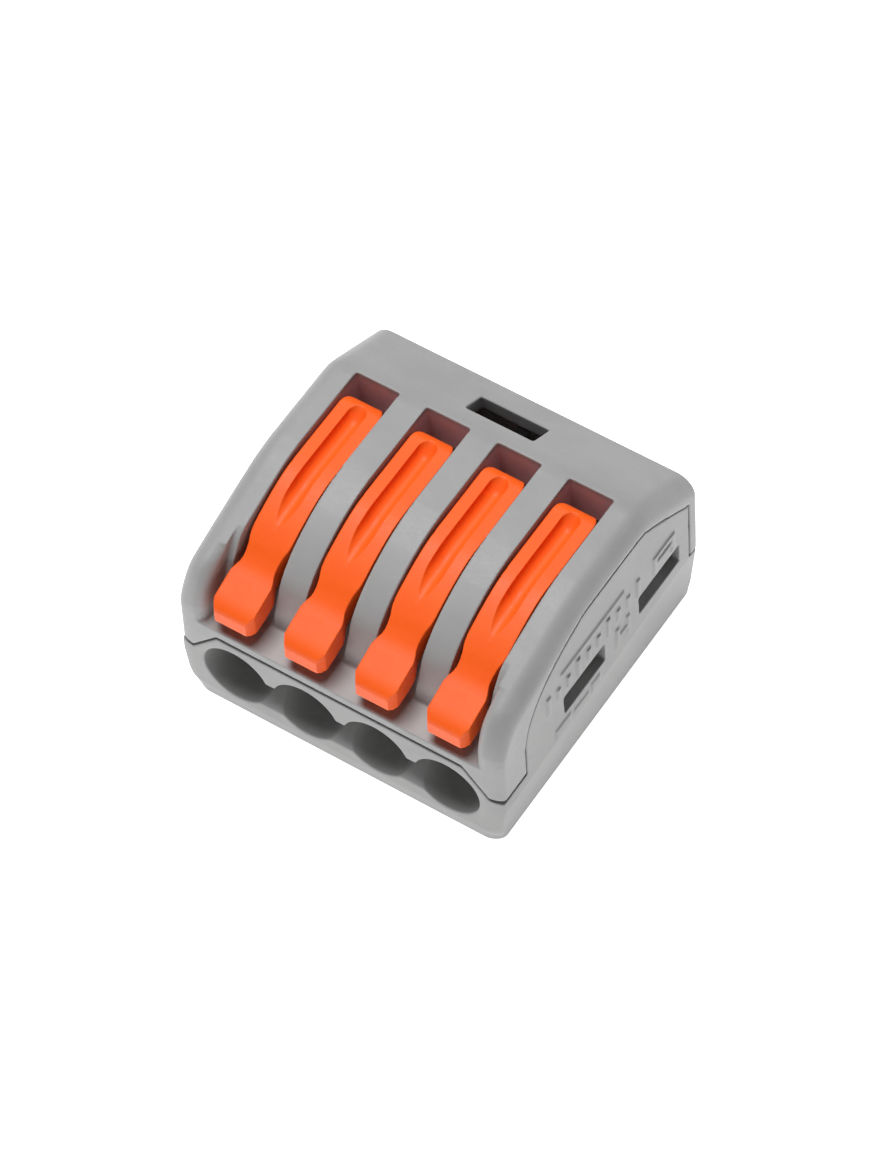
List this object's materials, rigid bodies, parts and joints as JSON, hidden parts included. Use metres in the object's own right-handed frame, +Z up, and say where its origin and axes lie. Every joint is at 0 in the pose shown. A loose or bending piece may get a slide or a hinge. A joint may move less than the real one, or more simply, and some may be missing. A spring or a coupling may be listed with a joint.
{
  "type": "lever wire connector",
  "caption": "Compact grey plastic wire connector with orange clamping levers in a row over round wire entries, arched roof and a small test slot.",
  "frame": {"origin": "centre of the housing's footprint, on the underside", "axes": "+Z up, wire entries and lever tips face -Y, the ways are spread along X"},
  "size_m": [0.023, 0.0218, 0.0145],
  "materials": {
    "housing_base": "satin moulded polyamide",
    "housing_cover": "satin moulded polyamide",
    "lever": "satin moulded, orange",
    "spring_strip": "rolled stainless strip",
    "contact_bar": "tin-plated copper"
  },
  "bodies": {
    "housing": {"base": "housing_base", "cover": "housing_cover", "busbar": "contact_bar", "cage_spring_1": "spring_strip", "cage_spring_2": "spring_strip", "cage_spring_3": "spring_strip", "cage_spring_4": "spring_strip"},
    "lever_body_1": {"lever_1": "lever"},
    "lever_body_2": {"lever_2": "lever"},
    "lever_body_3": {"lever_3": "lever"},
    "lever_body_4": {"lever_4": "lever"}
  },
  "joints": [
    {"name": "lever_hinge_1", "type": "hinge", "parent": "housing", "child": "lever_body_1", "pos_m": [-0.0075, 0.0018, 0.0113], "axis": [-1, 0, 0], "range_deg": [0, 100], "deforming": ["cage_spring_1"]},
    {"name": "lever_hinge_2", "type": "hinge", "parent": "housing", "child": "lever_body_2", "pos_m": [-0.0025, 0.0018, 0.0113], "axis": [-1, 0, 0], "range_deg": [0, 100], "deforming": ["cage_spring_2"]},
    {"name": "lever_hinge_3", "type": "hinge", "parent": "housing", "child": "lever_body_3", "pos_m": [0.0025, 0.0018, 0.0113], "axis": [-1, 0, 0], "range_deg": [0, 100], "deforming": ["cage_spring_3"]},
    {"name": "lever_hinge_4", "type": "hinge", "parent": "housing", "child": "lever_body_4", "pos_m": [0.0075, 0.0018, 0.0113], "axis": [-1, 0, 0], "range_deg": [0, 100], "deforming": ["cage_spring_4"]}
  ]
}
